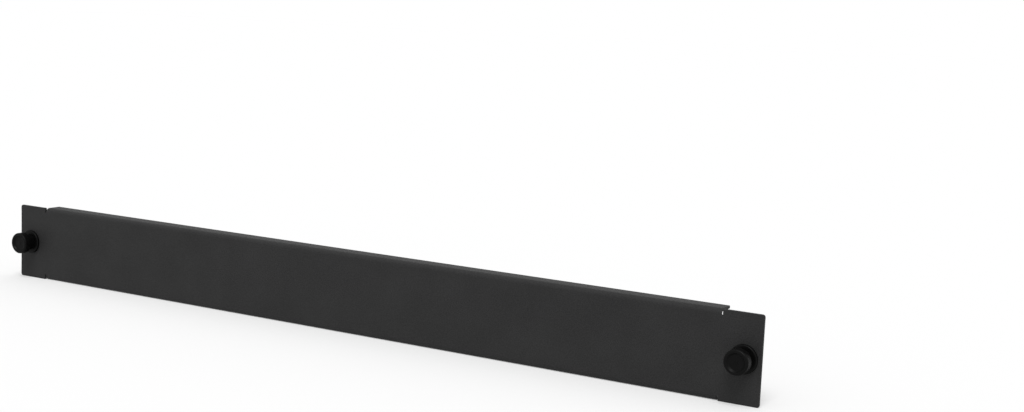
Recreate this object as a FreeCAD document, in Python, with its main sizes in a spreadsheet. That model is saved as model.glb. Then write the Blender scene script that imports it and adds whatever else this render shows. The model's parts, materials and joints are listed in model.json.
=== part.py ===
import FreeCAD, Part
import os
import Sketcher

# A one-unit blanking panel for a 19-inch rack: a folded steel sheet with a push-in fastener at each end.
# A fastener is a split grommet, which goes through the panel and the rail, and a plunger that locks it.
# Frame: X along the panel to the right, Y from the front to the back, Z up. Sizes are in millimetres.
# Origin: the middle of the panel's back surface, in the plane that lies on the rails.

os.makedirs("parts", exist_ok=True)
doc = FreeCAD.newDocument("blanking_panel")

# The driving sizes. Each one can be set by itself.
SIZES = [
    # standard sizes of the rack
    ("rack_width", 482.6),
    ("rail_lap", 16.3),
    ("hole_inset", 8.75),
    ("unit_high", 44.45),
    ("unit_gap", 0.79),
    # folded sheet
    ("sheet", 1.5),
    ("lip_deep", 10.5),
    ("lip_end_gap", 5.0),
    ("inner_bend", 1.0),
    ("relief_wide", 0.8),
    ("relief_past_bend", 0.4),
    ("ear_corner", 1.2),
    # grommet
    ("shoulder_r", 4.5),
    ("shoulder_fit", 0.1),
    ("shoulder_short", 0.1),
    ("flange_lap", 2.5),
    ("flange_high", 1.6),
    ("flange_round", 0.6),
    ("leg_step", 0.3),
    ("leg_straight", 6.0),
    ("tip_long", 5.0),
    ("tip_taper", 0.9),
    ("slot_wide", 0.9),
    ("slot_into_shoulder", 0.3),
    # plunger
    ("pin_r", 2.3),
    ("pin_fit", 0.05),
    ("pin_past_legs", 1.4),
    ("point_long", 2.2),
    ("point_taper", 1.1),
    ("grip_r", 6.2),
    ("waist_high", 4.0),
    ("grip_lid", 4.6),
    ("grip_round", 0.9),
    ("grip_back_round", 0.5),
    ("grip_seat_gap", 0.05),
    ("waist_step", 1.5),
    ("rim_wide", 1.6),
    ("dish_slope", 0.8),
    ("dish_deep", 0.9),
]
sizes = doc.addObject("Spreadsheet::Sheet", "sizes")
for row, (alias, number) in enumerate(SIZES, start=1):
    sizes.set(f"A{row}", alias)
    sizes.set(f"B{row}", str(number))
    sizes.setAlias(f"B{row}", alias)
doc.recompute()

# What follows from the sizes, as formulas that the outlines are tied to.
HALF_HIGH = "(sizes.unit_high - sizes.unit_gap) / 2"
HALF_WIDE = "sizes.rack_width / 2"
HALF_LIP = "(sizes.rack_width / 2 - sizes.rail_lap - sizes.lip_end_gap)"
HALF_RELIEF = f"({HALF_LIP} + sizes.relief_wide)"
HALF_SPACING = "(sizes.rack_width / 2 - sizes.hole_inset)"
RELIEF_DEEP = "(sizes.sheet + sizes.inner_bend + sizes.relief_past_bend)"

FLANGE_R = "(sizes.shoulder_r + sizes.flange_lap)"
FLANGE_FRONT = "(0 - sizes.sheet - sizes.flange_high)"
LEG_R = "(sizes.shoulder_r - sizes.leg_step)"
LEG_TIP_R = f"({LEG_R} - sizes.tip_taper)"
LEG_END = "(sizes.leg_straight + sizes.tip_long)"
BORE_R = "(sizes.pin_r + sizes.pin_fit)"

PIN_END = f"({LEG_END} + sizes.pin_past_legs)"
POINT_R = "(sizes.pin_r - sizes.point_taper)"
GRIP_FRONT = f"({FLANGE_FRONT} - sizes.waist_high - sizes.grip_lid)"
WAIST_R = "(sizes.grip_r - sizes.waist_step)"
DISH_R = "(sizes.grip_r - sizes.rim_wide)"
DISH_FLOOR_R = f"({DISH_R} - sizes.dish_slope)"

HORIZONTAL_AXIS = -1
VERTICAL_AXIS = -2
ORIGIN = (-1, 1)
START = 1
END = 2
CENTRE = 3
NEAR = 1e-4


def new_body(label):
    body = doc.addObject("PartDesign::Body", label)
    body.Label = label
    return body


def new_sketch(body, name, plane):
    """A sketch on one of the body's own origin planes."""
    sketch = body.newObject("Sketcher::SketchObject", name)
    base = [f for f in body.Origin.OriginFeatures if f.Role == plane][0]
    sketch.AttachmentSupport = [(base, "")]
    sketch.MapMode = "FlatFace"
    return sketch


def value(sketch, formula):
    return float(sketch.evalExpression(formula))


def hold_point(sketch, line, point, kind, formula):
    """Tie a point to the sketch's origin at the distance that a formula gives."""
    if formula == "0":
        axis = VERTICAL_AXIS if kind == "DistanceX" else HORIZONTAL_AXIS
        sketch.addConstraint(Sketcher.Constraint("PointOnObject", line, point, axis))
        return
    distance = value(sketch, formula)
    index = sketch.addConstraint(Sketcher.Constraint(kind, *ORIGIN, line, point, distance))
    sketch.setExpression(f"Constraints[{index}]", formula)


def draw_outline(sketch, corners):
    """A closed outline of straight lines. Each corner is two formulas, across and up."""
    points = [FreeCAD.Vector(value(sketch, x), value(sketch, y), 0) for x, y in corners]
    for start, end in zip(points, points[1:] + points[:1]):
        sketch.addGeometry(Part.LineSegment(start, end), False)
    for line in range(len(points)):
        following = (line + 1) % len(points)
        sketch.addConstraint(Sketcher.Constraint("Coincident", line, END, following, START))
    hold_point(sketch, 0, START, "DistanceX", corners[0][0])
    hold_point(sketch, 0, START, "DistanceY", corners[0][1])
    for line, (start, end) in enumerate(zip(corners, corners[1:])):
        if start[0] == end[0]:
            sketch.addConstraint(Sketcher.Constraint("Vertical", line))
        else:
            hold_point(sketch, line + 1, START, "DistanceX", end[0])
        if start[1] == end[1]:
            sketch.addConstraint(Sketcher.Constraint("Horizontal", line))
        else:
            hold_point(sketch, line + 1, START, "DistanceY", end[1])


def draw_circle(sketch, across, up, radius):
    """A circle whose centre and radius are formulas."""
    centre = FreeCAD.Vector(value(sketch, across), value(sketch, up), 0)
    upright = FreeCAD.Vector(0, 0, 1)
    circle = sketch.addGeometry(Part.Circle(centre, upright, value(sketch, radius)), False)
    hold_point(sketch, circle, CENTRE, "DistanceX", across)
    hold_point(sketch, circle, CENTRE, "DistanceY", up)
    index = sketch.addConstraint(Sketcher.Constraint("Radius", circle, value(sketch, radius)))
    sketch.setExpression(f"Constraints[{index}]", radius)


def add_pad(body, name, sketch, length, both_ways=False):
    pad = body.newObject("PartDesign::Pad", name)
    pad.Profile = sketch
    pad.SideType = "Symmetric" if both_ways else "One side"
    pad.setExpression("Length", length)
    doc.recompute()
    return pad


def add_revolution(body, name, sketch):
    """Turn a profile round the sketch's vertical axis."""
    turned = body.newObject("PartDesign::Revolution", name)
    turned.Profile = sketch
    turned.ReferenceAxis = (sketch, ["V_Axis"])
    turned.Angle = 360
    doc.recompute()
    return turned


def add_fillet(body, name, radius, wanted):
    """Round each edge of the body so far for which wanted(edge) holds."""
    last = body.Tip
    edges = [f"Edge{i}" for i, e in enumerate(last.Shape.Edges, start=1) if wanted(e)]
    fillet = body.newObject("PartDesign::Fillet", name)
    fillet.Base = (last, edges)
    fillet.setExpression("Radius", radius)
    doc.recompute()
    return len(edges)


def add_cut(body, name, sketch, both_ways=False):
    """Cut the sketch through everything and make sure that it took something away."""
    before = body.Shape.Volume
    cut = body.newObject("PartDesign::Pocket", name)
    cut.Profile = sketch
    cut.Type = "ThroughAll"
    cut.SideType = "Symmetric" if both_ways else "One side"
    doc.recompute()
    if body.Shape.Volume > before - NEAR:
        raise RuntimeError(f"{name} cut nothing")
    return cut


def straight_edge_at(edge, along, **place):
    """Whether a straight edge runs along one axis and lies at the given coordinates."""
    if not isinstance(edge.Curve, Part.Line):
        return False
    if abs(abs(getattr(edge.Curve.Direction, along)) - 1) > NEAR:
        return False
    middle = edge.CenterOfMass
    return all(abs(abs(getattr(middle, axis)) - abs(at)) < NEAR for axis, at in place.items())


def rim_at(edge, radius, y):
    """Whether an edge is a circle of this radius round Y at this place along it."""
    if not isinstance(edge.Curve, Part.Circle):
        return False
    return abs(edge.Curve.Radius - radius) < NEAR and abs(edge.CenterOfMass.y - y) < NEAR


def expect(count, found, what):
    if found != count:
        raise RuntimeError(f"{what}: {found} edges found, {count} expected")


def build_panel():
    """The sheet: a face with both long edges folded back, and a flat ear at each end."""
    body = new_body("panel")

    section = new_sketch(body, "section", "YZ_Plane")
    front = "(0 - sizes.sheet)"
    lip_end = "(sizes.lip_deep - sizes.sheet)"
    inside = f"({HALF_HIGH} - sizes.sheet)"
    draw_outline(section, [
        (front, f"0 - {HALF_HIGH}"),
        (lip_end, f"0 - {HALF_HIGH}"),
        (lip_end, f"0 - {inside}"),
        ("0", f"0 - {inside}"),
        ("0", inside),
        (lip_end, inside),
        (lip_end, HALF_HIGH),
        (front, HALF_HIGH),
    ])
    add_pad(body, "channel", section, f"2 * {HALF_LIP}", both_ways=True)

    half_high = value(section, HALF_HIGH)
    outer = dict(y=sizes.sheet, z=half_high)
    found = add_fillet(body, "outer_bends", "sizes.inner_bend + sizes.sheet",
                       lambda e: straight_edge_at(e, "x", **outer) and e.CenterOfMass.y < 0)
    expect(2, found, "outer bends")
    inner = dict(y=0, z=half_high - sizes.sheet)
    found = add_fillet(body, "inner_bends", "sizes.inner_bend",
                       lambda e: straight_edge_at(e, "x", **inner))
    expect(2, found, "inner bends")

    ears = new_sketch(body, "ears_outline", "XZ_Plane")
    relief_floor = f"({HALF_HIGH} - {RELIEF_DEEP})"
    draw_outline(ears, [
        (f"0 - {HALF_WIDE}", f"0 - {HALF_HIGH}"),
        (f"0 - {HALF_RELIEF}", f"0 - {HALF_HIGH}"),
        (f"0 - {HALF_RELIEF}", f"0 - {relief_floor}"),
        (HALF_RELIEF, f"0 - {relief_floor}"),
        (HALF_RELIEF, f"0 - {HALF_HIGH}"),
        (HALF_WIDE, f"0 - {HALF_HIGH}"),
        (HALF_WIDE, HALF_HIGH),
        (HALF_RELIEF, HALF_HIGH),
        (HALF_RELIEF, relief_floor),
        (f"0 - {HALF_RELIEF}", relief_floor),
        (f"0 - {HALF_RELIEF}", HALF_HIGH),
        (f"0 - {HALF_WIDE}", HALF_HIGH),
    ])
    add_pad(body, "ears", ears, "sizes.sheet")

    corner = dict(x=value(ears, HALF_WIDE), z=half_high)
    found = add_fillet(body, "ear_corners", "sizes.ear_corner",
                       lambda e: straight_edge_at(e, "y", **corner))
    expect(4, found, "ear corners")

    holes = new_sketch(body, "hole_circles", "XZ_Plane")
    hole_r = "sizes.shoulder_r + sizes.shoulder_fit"
    draw_circle(holes, f"0 - {HALF_SPACING}", "0", hole_r)
    draw_circle(holes, HALF_SPACING, "0", hole_r)
    add_cut(body, "fastener_holes", holes, both_ways=True)
    return body


def place_at_hole(body, side):
    body.setExpression(".Placement.Base.x", f"{side} * {HALF_SPACING}")
    doc.recompute()


def build_grommet(label, side):
    """The grommet: a flange on the panel's face and a barrel that is split into four legs."""
    body = new_body(label)
    profile = new_sketch(body, f"{label}_profile", "XY_Plane")
    draw_outline(profile, [
        (BORE_R, FLANGE_FRONT),
        (FLANGE_R, FLANGE_FRONT),
        (FLANGE_R, "0 - sizes.sheet"),
        ("sizes.shoulder_r", "0 - sizes.sheet"),
        ("sizes.shoulder_r", "0 - sizes.shoulder_short"),
        (LEG_R, "0 - sizes.shoulder_short"),
        (LEG_R, "sizes.leg_straight"),
        (LEG_TIP_R, LEG_END),
        (BORE_R, LEG_END),
    ])
    add_revolution(body, f"{label}_barrel", profile)

    flange_r = value(profile, FLANGE_R)
    front = value(profile, FLANGE_FRONT)
    found = add_fillet(body, f"{label}_flange_edge", "sizes.flange_round",
                       lambda e: rim_at(e, flange_r, front))
    expect(1, found, "flange edge")

    for turn, wide, high in (("level", FLANGE_R, "sizes.slot_wide / 2"),
                             ("upright", "sizes.slot_wide / 2", FLANGE_R)):
        slot = new_sketch(body, f"{label}_{turn}_slot", "XZ_Plane")
        slot.setExpression(".AttachmentOffset.Base.z", "sizes.shoulder_short + sizes.slot_into_shoulder")
        draw_outline(slot, [
            (f"0 - {wide}", f"0 - {high}"),
            (wide, f"0 - {high}"),
            (wide, high),
            (f"0 - {wide}", high),
        ])
        add_cut(body, f"{label}_{turn}_split", slot)
    place_at_hole(body, side)
    return body


def build_plunger(label, side):
    """The plunger: a round grip with a dished face, a waist to pull it by, and a pointed pin."""
    body = new_body(label)
    profile = new_sketch(body, f"{label}_profile", "XY_Plane")
    dish_floor = f"({GRIP_FRONT} + sizes.dish_deep)"
    lid_back = f"({GRIP_FRONT} + sizes.grip_lid)"
    seat = f"({FLANGE_FRONT} - sizes.grip_seat_gap)"
    draw_outline(profile, [
        ("0", dish_floor),
        (DISH_FLOOR_R, dish_floor),
        (DISH_R, GRIP_FRONT),
        ("sizes.grip_r", GRIP_FRONT),
        ("sizes.grip_r", lid_back),
        (WAIST_R, lid_back),
        (WAIST_R, seat),
        ("sizes.pin_r", seat),
        ("sizes.pin_r", f"{PIN_END} - sizes.point_long"),
        (POINT_R, PIN_END),
        ("0", PIN_END),
    ])
    add_revolution(body, f"{label}_pin", profile)

    front = value(profile, GRIP_FRONT)
    found = add_fillet(body, f"{label}_grip_edge", "sizes.grip_round",
                       lambda e: rim_at(e, sizes.grip_r, front))
    expect(1, found, "grip's front edge")
    back = value(profile, lid_back)
    found = add_fillet(body, f"{label}_grip_back_edge", "sizes.grip_back_round",
                       lambda e: rim_at(e, sizes.grip_r, back))
    expect(1, found, "grip's back edge")
    place_at_hole(body, side)
    return body


bodies = [build_panel()]
for name, side in (("left", -1), ("right", 1)):
    bodies.append(build_grommet(f"{name}_grommet", side))
    bodies.append(build_plunger(f"{name}_plunger", side))

doc.recompute()
for item in doc.Objects:
    if {"Invalid", "Error"} & set(item.State):
        raise RuntimeError(f"{item.Name} did not build: {item.State}")
for body in bodies:
    shape = body.Shape
    if shape.isNull() or not shape.isValid() or len(shape.Solids) != 1:
        raise RuntimeError(f"{body.Label} is not one valid solid")
    shape.exportStep(os.path.join("parts", f"{body.Label}.step"))
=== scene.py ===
import json
import math

import bpy
import numpy as np
from mathutils import Matrix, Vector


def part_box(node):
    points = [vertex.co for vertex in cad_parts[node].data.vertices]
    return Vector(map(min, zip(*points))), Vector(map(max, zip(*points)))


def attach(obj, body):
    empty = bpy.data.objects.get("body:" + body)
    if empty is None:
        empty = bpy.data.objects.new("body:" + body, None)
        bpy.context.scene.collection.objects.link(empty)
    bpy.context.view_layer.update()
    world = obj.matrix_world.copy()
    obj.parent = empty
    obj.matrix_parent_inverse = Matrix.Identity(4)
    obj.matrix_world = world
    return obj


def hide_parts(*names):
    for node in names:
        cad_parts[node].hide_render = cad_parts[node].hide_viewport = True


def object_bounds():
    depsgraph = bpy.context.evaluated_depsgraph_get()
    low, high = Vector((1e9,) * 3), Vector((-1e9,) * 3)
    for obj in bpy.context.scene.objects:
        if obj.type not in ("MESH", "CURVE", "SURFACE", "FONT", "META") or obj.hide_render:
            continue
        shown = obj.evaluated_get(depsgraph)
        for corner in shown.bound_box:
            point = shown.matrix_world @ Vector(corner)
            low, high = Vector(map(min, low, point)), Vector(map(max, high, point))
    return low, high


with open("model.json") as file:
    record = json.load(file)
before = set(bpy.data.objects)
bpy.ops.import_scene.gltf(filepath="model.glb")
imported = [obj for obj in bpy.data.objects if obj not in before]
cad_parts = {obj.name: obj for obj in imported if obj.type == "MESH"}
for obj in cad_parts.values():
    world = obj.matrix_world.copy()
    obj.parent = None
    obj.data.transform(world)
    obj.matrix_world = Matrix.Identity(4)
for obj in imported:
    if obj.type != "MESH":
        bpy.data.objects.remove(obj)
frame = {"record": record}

# A one-unit blanking panel for an equipment rack: a folded steel sheet in black powder coat, with a push-in
# nylon fastener at each end. Lengths are in metres. X runs along the panel, Y to the back, Z up.

CAD_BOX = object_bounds()
MM = 0.001
FULL_TURN = 2 * math.pi

# ---------------------------------------------------------------- places and sizes from the frame
# The two ends of the panel mirror each other, so the right fastener gives the sizes of both.
PANEL_LOW, PANEL_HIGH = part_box("panel")
GROMMET_LOW, GROMMET_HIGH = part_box("right_grommet")
PLUNGER_LOW, PLUNGER_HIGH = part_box("right_plunger")
BARREL = next(mount for mount in frame["record"]["mounts"] if mount["name"] == "right_barrel")

FACE_Y = PANEL_LOW[1]             # front of the face
LIP_END = PANEL_HIGH[1]
HALF_WIDE = PANEL_HIGH[0]
HALF_HIGH = PANEL_HIGH[2]
HOLE_X = BARREL["pos_m"][0]       # hole centres, each side of the middle
LEG_R = BARREL["dims"]["r_mm"] * MM
FLANGE_R = GROMMET_HIGH[2]
FLANGE_FRONT = GROMMET_LOW[1]
LEG_END = GROMMET_HIGH[1]
GRIP_FRONT = PLUNGER_LOW[1]
PIN_END = PLUNGER_HIGH[1]

# ---------------------------------------------------------------- sizes of the folded sheet
SHEET = 1.5 * MM                  # thickness of the steel
INNER_BEND = 1.0 * MM             # radius inside each fold
OUTER_BEND = INNER_BEND + SHEET
LIP_HALF = 220.0 * MM             # half the length of the folded lips
RELIEF_WIDE = 0.8 * MM            # slot between a lip and an ear
RELIEF_DEEP = 2.9 * MM
EAR_CORNER = 1.2 * MM
HOLE_R = 4.6 * MM                 # hole for a grommet
EDGE_ROUND = 0.28 * MM            # rounding that the coat gives to a cut edge

# ---------------------------------------------------------------- sizes of a fastener
SHOULDER_R = 4.5 * MM
SHOULDER_END = -0.1 * MM          # the shoulder stops short of the panel's back
LEG_TIP_R = 3.3 * MM
LEG_STRAIGHT = 6.0 * MM           # where the legs begin to taper
BORE_R = 2.35 * MM
SLOT_WIDE = 0.9 * MM
SLOT_START = SHOULDER_END - 0.3 * MM
FLANGE_ROUND = 0.6 * MM
FLANGE_BACK_ROUND = 0.15 * MM
LEG_EDGE_ROUND = 0.12 * MM

GRIP_R = 6.2 * MM
GRIP_LID = 4.6 * MM               # length of the grip's wide part
GRIP_ROUND = 0.9 * MM
GRIP_BACK_ROUND = 0.5 * MM
WAIST_R = 4.7 * MM
WAIST_ROUND = 0.4 * MM
DISH_R = 4.6 * MM
DISH_FLOOR_R = 3.8 * MM
DISH_DEEP = 0.9 * MM
DISH_ROUND = 0.3 * MM
DISH_FLOOR_ROUND = 0.6 * MM
SEAT_GAP = 0.05 * MM              # between the waist and the grommet's flange
SEAT_ROUND = 0.2 * MM
PIN_R = 2.3 * MM
PIN_ROOT_ROUND = 0.25 * MM
POINT_R = 1.2 * MM
POINT_LONG = 2.2 * MM
POINT_ROUND = 0.8 * MM
POINT_END_ROUND = 0.5 * MM
GATE_R = 0.6 * MM                 # the nub that the mould's gate leaves in the dish
GATE_HIGH = 0.15 * MM
GATE_ROUND = 0.05 * MM
GATE_FOOT_ROUND = 0.08 * MM


# ---------------------------------------------------------------- meshes from arrays
def weld(points, faces, grain=1e-7):
    """One point for each place: points that agree to the grain are merged, and the faces follow them."""
    keys = np.round(points / grain).astype(np.int64)
    _, first, index = np.unique(keys, axis=0, return_index=True, return_inverse=True)
    return first, index.reshape(-1)[faces]


def drop_unused(points, faces):
    """The points that some face uses, with the faces renumbered."""
    used, index = np.unique(faces, return_inverse=True)
    return points[used], index.reshape(faces.shape)


def make_piece(name, points, quads, triangles=None):
    """A smooth-shaded mesh object at the origin, from arrays of points, quads and triangles."""
    faces = [tuple(f) for f in quads.tolist()]
    if triangles is not None:
        faces += [tuple(f) for f in triangles.tolist()]
    mesh = bpy.data.meshes.new(name)
    mesh.from_pydata(points.tolist(), [], faces)
    mesh.validate()
    mesh.shade_smooth()
    piece = bpy.data.objects.new(name, mesh)
    bpy.context.scene.collection.objects.link(piece)
    return piece


def round_edges(piece, width, segments, angle):
    """Round each edge that turns by more than the angle, and keep the flats flat in their shading."""
    bevel = piece.modifiers.new("rounded_edges", "BEVEL")
    bevel.width = width
    bevel.segments = segments
    bevel.limit_method = "ANGLE"
    bevel.angle_limit = math.radians(angle)
    bevel.harden_normals = True
    bevel.miter_outer = "MITER_ARC"


def grid_quads(rows, columns, wrap_rows=False, wrap_columns=False):
    """Quads of a grid of points numbered row by row, with either direction closed on itself if asked.

    A quad faces the way of (step to the next row) x (step to the next column).
    """
    r = np.arange(rows if wrap_rows else rows - 1)
    c = np.arange(columns if wrap_columns else columns - 1)
    r, c = np.meshgrid(r, c, indexing="ij")
    r_next, c_next = (r + 1) % rows, (c + 1) % columns
    corners = (r * columns + c, r_next * columns + c, r_next * columns + c_next, r * columns + c_next)
    return np.stack(corners, axis=-1).reshape(-1, 4)


def rounded_path(corners, radii, steps=6):
    """A path of straight runs with each corner replaced by an arc of its radius, tangent to both runs."""
    corners = np.asarray(corners, float)
    path = [corners[:1]]
    for before, corner, after, radius in zip(corners, corners[1:], corners[2:], radii[1:-1]):
        if radius <= 0:
            path.append(corner[None])
            continue
        back, ahead = before - corner, after - corner
        back, ahead = back / np.linalg.norm(back), ahead / np.linalg.norm(ahead)
        half = math.acos(float(np.clip(back @ ahead, -1, 1))) / 2
        centre = corner + (back + ahead) / np.linalg.norm(back + ahead) * radius / math.sin(half)
        start = corner + back * radius / math.tan(half) - centre
        end = corner + ahead * radius / math.tan(half) - centre
        blend = np.linspace(0, 1, steps + 1)[:, None]
        sweep = math.pi - 2 * half
        weights = np.sin((1 - blend) * sweep), np.sin(blend * sweep)
        path.append(centre + (weights[0] * start + weights[1] * end) / math.sin(sweep))
    path.append(corners[-1:])
    return np.concatenate(path)


# ---------------------------------------------------------------- the folded sheet
def folded_skin(s):
    """Outer skin of the folded section at the distance s along it from the middle.

    It is straight over the face, a quarter circle round each fold, and straight again along each lip.
    Gives Y, Z and the outward normal's Y and Z.
    """
    flat = HALF_HIGH - OUTER_BEND
    side = np.sign(s)
    turn = np.clip((np.abs(s) - flat) / OUTER_BEND, 0, math.pi / 2)
    past = np.clip(np.abs(s) - flat - OUTER_BEND * math.pi / 2, 0, None)
    y = FACE_Y + OUTER_BEND * (1 - np.cos(turn)) + past
    z = side * (np.minimum(np.abs(s), flat) + OUTER_BEND * np.sin(turn))
    return y, z, -np.cos(turn), side * np.sin(turn)


def ear_outline(inner_x, floor_z, inner_z, across=17, up=39):
    """Points round an ear, anticlockwise from the bottom of its inner side, with its outer corners rounded.

    The inner side runs along inner_z between the floors of the two relief slots.
    """
    corner = np.linspace(0, math.pi / 2, 5)
    along = np.linspace(inner_x, HALF_WIDE - EAR_CORNER, across)[:-1]
    upright = np.linspace(-HALF_HIGH + EAR_CORNER, HALF_HIGH - EAR_CORNER, up)[1:-1]
    low_centre = np.array([HALF_WIDE - EAR_CORNER, -HALF_HIGH + EAR_CORNER])
    high_centre = low_centre * [1, -1]
    low = low_centre + EAR_CORNER * np.stack([np.sin(corner), -np.cos(corner)], axis=1)
    high = high_centre + EAR_CORNER * np.stack([np.cos(corner), np.sin(corner)], axis=1)
    free = np.linspace(floor_z, HALF_HIGH, 4)[1:-1]
    parts = [
        np.stack([along, np.full_like(along, -HALF_HIGH)], axis=1),
        low,
        np.stack([np.full_like(upright, HALF_WIDE), upright], axis=1),
        high,
        np.stack([along[::-1], np.full_like(along, HALF_HIGH)], axis=1),
        np.stack([np.full_like(free, inner_x), free[::-1]], axis=1),
        np.stack([np.full_like(inner_z, inner_x), inner_z[::-1]], axis=1),
        np.stack([np.full_like(free, inner_x), -free], axis=1),
    ]
    return np.concatenate(parts)


def ear_skin(outline, rings=5):
    """Flat skin of an ear: straight spokes from the hole's circle out to the outline, cut into rings."""
    count = len(outline)
    start = math.atan2(outline[0, 1], outline[0, 0] - HOLE_X)
    angles = start + np.arange(count) * FULL_TURN / count
    circle = np.stack([HOLE_X + HOLE_R * np.cos(angles), HOLE_R * np.sin(angles)], axis=1)
    share = np.linspace(0, 1, rings + 1)[:, None, None]
    flat = (circle[None] * (1 - share) + outline[None] * share).reshape(-1, 2)
    return flat, grid_quads(rings + 1, count, wrap_columns=True)


def make_panel():
    """The sheet as a skin over X and the distance along the section, then given its wall behind the skin."""
    floor_z = HALF_HIGH - RELIEF_DEEP
    ear_x = LIP_HALF + RELIEF_WIDE

    inner_z = np.linspace(-floor_z, floor_z, 33)
    fold = HALF_HIGH - OUTER_BEND + OUTER_BEND * np.linspace(0, math.pi / 2, 11)
    lip = fold[-1] + (LIP_END - FACE_Y - OUTER_BEND) * np.array([0.33, 0.67, 1.0])
    edge = np.concatenate([fold, lip])
    s = np.concatenate([-edge[::-1], inner_z, edge])
    x = np.linspace(-LIP_HALF, LIP_HALF, 121)
    grid_x, grid_s = np.meshgrid(x, s, indexing="ij")
    y, z, ny, nz = folded_skin(grid_s.ravel())
    points = [np.stack([grid_x.ravel(), y, z], axis=1)]
    normals = [np.stack([np.zeros_like(ny), ny, nz], axis=1)]
    quads = [grid_quads(len(x), len(s))]
    count = len(points[0])

    ear, ear_quads = ear_skin(ear_outline(ear_x, floor_z, inner_z))
    bridge_x, bridge_z = np.meshgrid([LIP_HALF, ear_x], inner_z, indexing="ij")
    bridge = np.stack([bridge_x.ravel(), bridge_z.ravel()], axis=1)
    for side in (-1, 1):
        turned = (slice(None), slice(None, None, side))
        for flat_points, flat_quads in ((ear, ear_quads), (bridge, grid_quads(2, len(inner_z)))):
            face_y = np.full(len(flat_points), FACE_Y)
            points.append(np.stack([side * flat_points[:, 0], face_y, flat_points[:, 1]], axis=1))
            normals.append(np.tile([0.0, -1.0, 0.0], (len(flat_points), 1)))
            quads.append(flat_quads[turned] + count)
            count += len(flat_points)
    points, normals, quads = np.concatenate(points), np.concatenate(normals), np.concatenate(quads)
    first, quads = weld(points, quads)
    points, normals = points[first], normals[first]

    # the wall: the same quads one thickness behind, and a strip round every open edge
    total = len(points)
    starts, ends = quads.ravel(), np.roll(quads, -1, axis=1).ravel()
    open_edge = ~np.isin(starts * total + ends, ends * total + starts)
    a, b = starts[open_edge], ends[open_edge]
    rim = np.stack([b, a, a + total, b + total], axis=1)
    behind = quads[:, ::-1] + total
    points = np.concatenate([points, points - normals * SHEET])
    piece = make_piece("folded_panel", points, np.concatenate([quads, behind, rim]))
    round_edges(piece, EDGE_ROUND, segments=3, angle=50)
    return piece


# ---------------------------------------------------------------- the fasteners
def turn_profile(profile, centre_x, angle):
    """Points of a profile of (radius, Y) carried round the axis along Y at centre_x, by the angles given.

    X is centre_x + radius cos(angle) and Z is radius sin(angle). A row of points is one level of the profile.
    """
    radius, y = profile[:, :1], profile[:, 1:]
    x, z = centre_x + radius * np.cos(angle), radius * np.sin(angle)
    return np.stack([x, np.broadcast_to(y, x.shape), z], axis=-1).reshape(-1, 3)


def make_grommet(name, centre_x, leg_columns=25):
    """A closed profile carried round the fastener's axis, with four slots from the shoulder to the leg tips.

    A column of the grid is an angle. Beside a slot the angle is asin(half the slot / radius), so the slot's
    walls are parallel, and the leg's other columns share the angle between two slots evenly.
    """
    whole = rounded_path(
        [
            (BORE_R, FLANGE_FRONT),
            (FLANGE_R, FLANGE_FRONT),
            (FLANGE_R, FACE_Y),
            (SHOULDER_R, FACE_Y),
            (SHOULDER_R, SLOT_START),
        ],
        [0, FLANGE_ROUND, FLANGE_BACK_ROUND, 0, 0],
    )
    straight = np.linspace(SHOULDER_END, LEG_STRAIGHT, 9)
    taper = np.linspace(LEG_STRAIGHT, LEG_END, 7)[1:]
    slotted = np.concatenate(
        [
            [(SHOULDER_R, SLOT_START), (SHOULDER_R, SHOULDER_END)],
            np.stack([np.full_like(straight, LEG_R), straight], axis=1),
            np.stack([np.interp(taper, [LEG_STRAIGHT, LEG_END], [LEG_R, LEG_TIP_R]), taper], axis=1),
        ]
    )
    bore_y = np.linspace(SLOT_START, LEG_END, len(slotted))
    bore = np.stack([np.full_like(bore_y, BORE_R), bore_y], axis=1)
    profile = np.concatenate([whole, slotted[1:], bore[::-1]])
    rows = len(profile)
    root_out, root_in = len(whole) - 1, rows - 1

    radius = profile[:, :1]
    half_slot = np.arcsin(SLOT_WIDE / 2 / radius)
    share = np.linspace(0, 1, leg_columns)[None]
    leg = half_slot + share * (math.pi / 2 - 2 * half_slot)
    quarter = np.concatenate([np.zeros((rows, 1)), leg], axis=1)
    per_quarter = quarter.shape[1]
    turns = np.arange(4) * math.pi / 2
    angle = (quarter[:, None, :] + turns[None, :, None]).reshape(rows, -1)
    columns = angle.shape[1]
    points = turn_profile(profile, centre_x, angle)

    quads = grid_quads(rows, columns, wrap_rows=True, wrap_columns=True)
    row, column = quads[:, 0] // columns, quads[:, 0] % columns
    in_slot = (column % per_quarter == 0) | (column % per_quarter == per_quarter - 1)
    quads = quads[~(in_slot & (row >= root_out) & (row < root_in))]

    # a slot's two walls join the outside to the bore level by level, and its root joins them across the slot
    outside = (root_out + np.arange(len(slotted))) * columns
    inside = (root_in - np.arange(len(slotted))) * columns
    middle = np.arange(4)[:, None] * per_quarter
    after, before = middle + 1, (middle - 1) % columns
    near, far = outside[:-1], outside[1:]
    near_in, far_in = inside[:-1], inside[1:]
    walls = [
        np.stack([far + after, near + after, near_in + after, far_in + after], axis=-1),
        np.stack([near + before, far + before, far_in + before, near_in + before], axis=-1),
    ]
    root, root_bore = outside[:1], inside[:1]
    for left, right in ((before, middle), (middle, after)):
        walls.append(np.stack([root + right, root + left, root_bore + left, root_bore + right], axis=-1))
    quads = np.concatenate([quads] + [wall.reshape(-1, 4) for wall in walls])
    piece = make_piece(name, *drop_unused(points, quads))
    round_edges(piece, LEG_EDGE_ROUND, segments=2, angle=40)
    return piece


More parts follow.
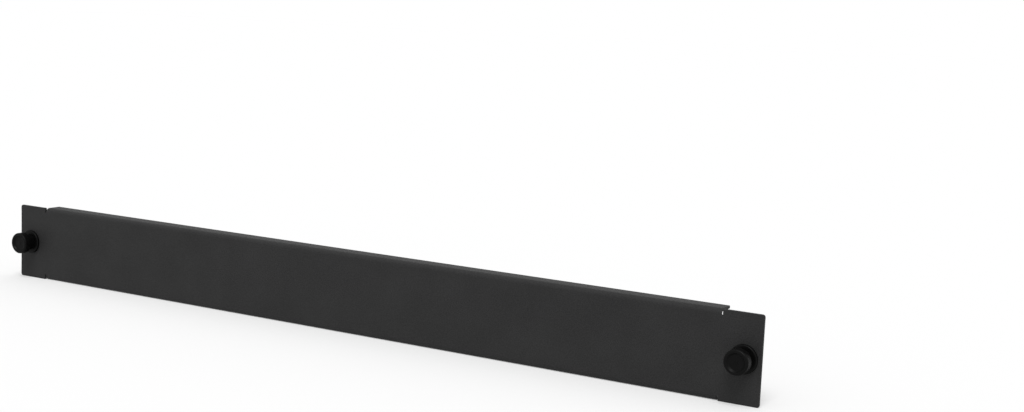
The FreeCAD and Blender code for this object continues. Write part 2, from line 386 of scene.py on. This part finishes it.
def make_plunger(name, centre_x, columns=96):
    """A profile turned round the fastener's axis: dished grip, waist, pin and point, closed at both poles."""
    floor = GRIP_FRONT + DISH_DEEP
    gate = floor - GATE_HIGH
    lid_back = GRIP_FRONT + GRIP_LID
    seat = FLANGE_FRONT - SEAT_GAP
    # each corner's radius from the axis, its Y and its rounding
    corners = np.array(
        [
            (0, gate, 0),
            (GATE_R, gate, GATE_ROUND),
            (GATE_R, floor, GATE_FOOT_ROUND),
            (DISH_FLOOR_R, floor, DISH_FLOOR_ROUND),
            (DISH_R, GRIP_FRONT, DISH_ROUND),
            (GRIP_R, GRIP_FRONT, GRIP_ROUND),
            (GRIP_R, lid_back, GRIP_BACK_ROUND),
            (WAIST_R, lid_back, WAIST_ROUND),
            (WAIST_R, seat, SEAT_ROUND),
            (PIN_R, seat, PIN_ROOT_ROUND),
            (PIN_R, PIN_END - POINT_LONG, POINT_ROUND),
            (POINT_R, PIN_END, POINT_END_ROUND),
            (0, PIN_END, 0),
        ]
    )
    ring = rounded_path(corners[:, :2], corners[:, 2], steps=7)[1:-1]
    points = turn_profile(ring, centre_x, np.arange(columns) * FULL_TURN / columns)
    quads = grid_quads(len(ring), columns, wrap_columns=True)
    poles = np.array([[centre_x, gate, 0], [centre_x, PIN_END, 0]])
    near, far = len(points), len(points) + 1
    around, following = np.arange(columns), (np.arange(columns) + 1) % columns
    last = (len(ring) - 1) * columns
    triangles = np.concatenate(
        [
            np.stack([np.full(columns, near), around, following], axis=1),
            np.stack([np.full(columns, far), last + following, last + around], axis=1),
        ]
    )
    return make_piece(name, np.concatenate([points, poles]), quads, triangles)


# ---------------------------------------------------------------- finishes
COAT_DARK, COAT_LIGHT = (0.0105, 0.0105, 0.0106), (0.0235, 0.0235, 0.0237)
COAT_GLOSS = 0.22
NYLON_DARK, NYLON_LIGHT = (0.0018, 0.0018, 0.0018), (0.0026, 0.0026, 0.0026)
NYLON_GLOSS = 0.08


def new_material(name):
    """A material with its shader, and the place in the object's own metres that its textures follow."""
    material = bpy.data.materials.new(name)
    material.use_nodes = True
    nodes, links = material.node_tree.nodes, material.node_tree.links
    shader = nodes["Principled BSDF"]
    place = nodes.new("ShaderNodeTexCoord")
    return material, nodes, links, shader, place.outputs["Object"]


def add_noise(nodes, links, place, per_metre, detail, roughness=0.5):
    """Noise about 0.5, with so many lumps to a metre."""
    noise = nodes.new("ShaderNodeTexNoise")
    noise.inputs["Scale"].default_value = per_metre
    noise.inputs["Detail"].default_value = detail
    noise.inputs["Roughness"].default_value = roughness
    links.new(place, noise.inputs["Vector"])
    return noise.outputs["Fac"]


def add_ramp(nodes, links, value, low, high, low_at=0.3, high_at=0.7):
    """A range from low to high as the value goes from low_at to high_at."""
    spread = nodes.new("ShaderNodeMapRange")
    spread.inputs["From Min"].default_value = low_at
    spread.inputs["From Max"].default_value = high_at
    spread.inputs["To Min"].default_value = low
    spread.inputs["To Max"].default_value = high
    links.new(value, spread.inputs["Value"])
    return spread.outputs["Result"]


def add_share(nodes, links, first, second, share):
    """Two values added together, with the second one counting for its share of the whole."""
    mix = nodes.new("ShaderNodeMix")
    mix.inputs["Factor"].default_value = share
    links.new(first, mix.inputs["A"])
    links.new(second, mix.inputs["B"])
    return mix.outputs["Result"]


def add_tint(nodes, links, value, dark, light):
    """A colour between dark and light by the value."""
    mix = nodes.new("ShaderNodeMix")
    mix.data_type = "RGBA"
    mix.inputs["A"].default_value = (*dark, 1)
    mix.inputs["B"].default_value = (*light, 1)
    links.new(value, mix.inputs["Factor"])
    return mix.outputs["Result"]


def add_bump(nodes, links, value, distance, strength, under=None):
    """A surface raised by the value, as far as the distance, over another bump if one is given."""
    bump = nodes.new("ShaderNodeBump")
    bump.inputs["Distance"].default_value = distance
    bump.inputs["Strength"].default_value = strength
    links.new(value, bump.inputs["Height"])
    if under is not None:
        links.new(under, bump.inputs["Normal"])
    return bump.outputs["Normal"]


def powder_coat():
    """Matt black powder coat: a sand-like grain over a faint orange peel, its colour painted a little lighter
    on the grain's peaks and darker in its hollows as painted shade.
    """
    material, nodes, links, shader, place = new_material("black_powder_coat")
    grain = add_noise(nodes, links, place, per_metre=1900, detail=3, roughness=0.6)
    peel = add_noise(nodes, links, place, per_metre=480, detail=2)
    cloud = add_noise(nodes, links, place, per_metre=45, detail=3)
    # painted shade and light: the grain that raises the bump also tints the colour, darker in its hollows and
    # lighter on its peaks
    painted_grain_shade = add_ramp(nodes, links, grain, low=0, high=1, low_at=0.4, high_at=0.6)
    patches = add_ramp(nodes, links, cloud, low=0, high=1)
    shade = add_share(nodes, links, painted_grain_shade, patches, share=0.3)
    links.new(add_tint(nodes, links, shade, COAT_DARK, COAT_LIGHT), shader.inputs["Base Color"])
    links.new(add_ramp(nodes, links, grain, low=0.6, high=0.72), shader.inputs["Roughness"])
    shader.inputs["Specular IOR Level"].default_value = COAT_GLOSS
    coarse = add_bump(nodes, links, peel, distance=0.1 * MM, strength=0.6)
    fine = add_bump(nodes, links, grain, distance=0.12 * MM, strength=0.9, under=coarse)
    links.new(fine, shader.inputs["Normal"])
    return material


def moulded_nylon():
    """Black nylon as moulded: satin, with a very fine spark-eroded texture and faint flow marks."""
    material, nodes, links, shader, place = new_material("moulded_black_nylon")
    spark = add_noise(nodes, links, place, per_metre=4200, detail=2)
    flow = add_noise(nodes, links, place, per_metre=260, detail=3)
    shade = add_ramp(nodes, links, flow, low=0, high=1)
    links.new(add_tint(nodes, links, shade, NYLON_DARK, NYLON_LIGHT), shader.inputs["Base Color"])
    links.new(add_ramp(nodes, links, flow, low=0.36, high=0.46), shader.inputs["Roughness"])
    shader.inputs["Specular IOR Level"].default_value = NYLON_GLOSS
    links.new(add_bump(nodes, links, spark, distance=0.01 * MM, strength=0.4), shader.inputs["Normal"])
    return material


# ---------------------------------------------------------------- the studio
WORLD_LEVEL = 0.62
SUN_STRENGTH = 2.05
SUN_HIGH = math.radians(56)
SUN_SIDE = math.radians(25)
SUN_SPREAD = math.radians(32)
FLOOR_WHITE = 0.72
FLOOR_REACH = 6.0

EYE = np.array([490.1, -659.2, 160.4]) * MM
YAW, PITCH, ROLL = (math.radians(degrees) for degrees in (-30.31, 7.68, 2.49))
FOCAL_LENGTH = 54.5               # in camera millimetres, for a picture 36 wide
PICTURE_WIDE = 36.0


def background_rays(nodes, links):
    """1 for a ray that shows the background, straight or by gloss or glass, and 0 for one that lights."""
    rays = nodes.new("ShaderNodeLightPath")
    seen = rays.outputs["Is Camera Ray"]
    for kind in ("Is Glossy Ray", "Is Transmission Ray"):
        either = nodes.new("ShaderNodeMath")
        either.operation = "MAXIMUM"
        links.new(seen, either.inputs[0])
        links.new(rays.outputs[kind], either.inputs[1])
        seen = either.outputs[0]
    return seen


def make_world():
    """Plain white all round: full white where it is seen, and a plain level to light the panel."""
    world = bpy.data.worlds.new("studio")
    bpy.context.scene.world = world
    world.use_nodes = True
    nodes, links = world.node_tree.nodes, world.node_tree.links
    background = nodes["Background"]
    background.inputs["Color"].default_value = (1, 1, 1, 1)
    level = nodes.new("ShaderNodeMapRange")
    level.inputs["To Min"].default_value = WORLD_LEVEL
    level.inputs["To Max"].default_value = 1.0
    links.new(background_rays(nodes, links), level.inputs["Value"])
    links.new(level.outputs["Result"], background.inputs["Strength"])


def make_floor(height):
    """A white floor that meets the white surround without a line and keeps the panel's soft shadow."""
    mesh = bpy.data.meshes.new("studio_floor")
    corners = np.array([(-1, -1), (1, -1), (1, 1), (-1, 1)]) * FLOOR_REACH
    mesh.from_pydata([(x, y, height) for x, y in corners], [], [(0, 1, 2, 3)])
    floor = bpy.data.objects.new("studio_floor", mesh)
    bpy.context.scene.collection.objects.link(floor)
    material = bpy.data.materials.new("studio_floor")
    material.use_nodes = True
    nodes, links = material.node_tree.nodes, material.node_tree.links
    shader = nodes["Principled BSDF"]
    shader.inputs["Base Color"].default_value = (FLOOR_WHITE,) * 3 + (1,)
    shader.inputs["Roughness"].default_value = 1.0
    shader.inputs["Specular IOR Level"].default_value = 0.0
    lit = FLOOR_WHITE * (WORLD_LEVEL + SUN_STRENGTH * math.sin(SUN_HIGH) / math.pi)
    shader.inputs["Emission Color"].default_value = (1, 1, 1, 1)
    glow = nodes.new("ShaderNodeMath")
    glow.operation = "MULTIPLY"
    glow.inputs[1].default_value = 1.0 - lit
    links.new(background_rays(nodes, links), glow.inputs[0])
    links.new(glow.outputs[0], shader.inputs["Emission Strength"])
    mesh.materials.append(material)


def make_sun():
    """One large soft light from the front, above and a little to the right."""
    light = bpy.data.lights.new("key_light", "SUN")
    light.energy = SUN_STRENGTH
    light.angle = SUN_SPREAD
    sun = bpy.data.objects.new("key_light", light)
    sun.rotation_euler = (math.pi / 2 - SUN_HIGH, 0, SUN_SIDE)
    bpy.context.scene.collection.objects.link(sun)


def make_camera():
    """The eye stands to the right and a little above, turned towards the panel and rolled a few degrees."""
    cy, sy, cp, sp, cr, sr = (f(a) for a in (YAW, PITCH, ROLL) for f in (math.cos, math.sin))
    level = np.array([[1, 0, 0], [0, 0, -1], [0, 1, 0]], float)
    turn = np.array([[cy, -sy, 0], [sy, cy, 0], [0, 0, 1]])
    nod = np.array([[1, 0, 0], [0, cp, -sp], [0, sp, cp]])
    tip = np.array([[cr, -sr, 0], [sr, cr, 0], [0, 0, 1]])
    right, down, ahead = tip @ nod @ level @ turn
    lens = bpy.data.cameras.new("camera")
    lens.sensor_width = PICTURE_WIDE
    lens.lens = FOCAL_LENGTH
    lens.clip_start = 0.01
    lens.clip_end = 50.0
    camera = bpy.data.objects.new("camera", lens)
    axes = np.eye(4)
    axes[:3, 0], axes[:3, 1], axes[:3, 2], axes[:3, 3] = right, -down, -ahead, EYE
    camera.matrix_world = Matrix(axes.tolist())
    bpy.context.scene.collection.objects.link(camera)
    bpy.context.scene.camera = camera


# ---------------------------------------------------------------- put together
make_camera()
make_world()
make_sun()
make_floor(CAD_BOX[0][2])

coat, nylon = powder_coat(), moulded_nylon()

panel = make_panel()
panel.data.materials.append(coat)
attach(panel, "panel")
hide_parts("panel")

for hand, side in (("left", -1), ("right", 1)):
    grommet = make_grommet(f"{hand}_split_grommet", side * HOLE_X)
    grommet.data.materials.append(nylon)
    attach(grommet, "panel")
    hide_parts(f"{hand}_grommet")
    plunger = make_plunger(f"{hand}_push_plunger", side * HOLE_X)
    plunger.data.materials.append(nylon)
    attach(plunger, f"{hand}_plunger")
    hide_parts(f"{hand}_plunger")

bpy.context.scene.view_settings.view_transform = "Standard"
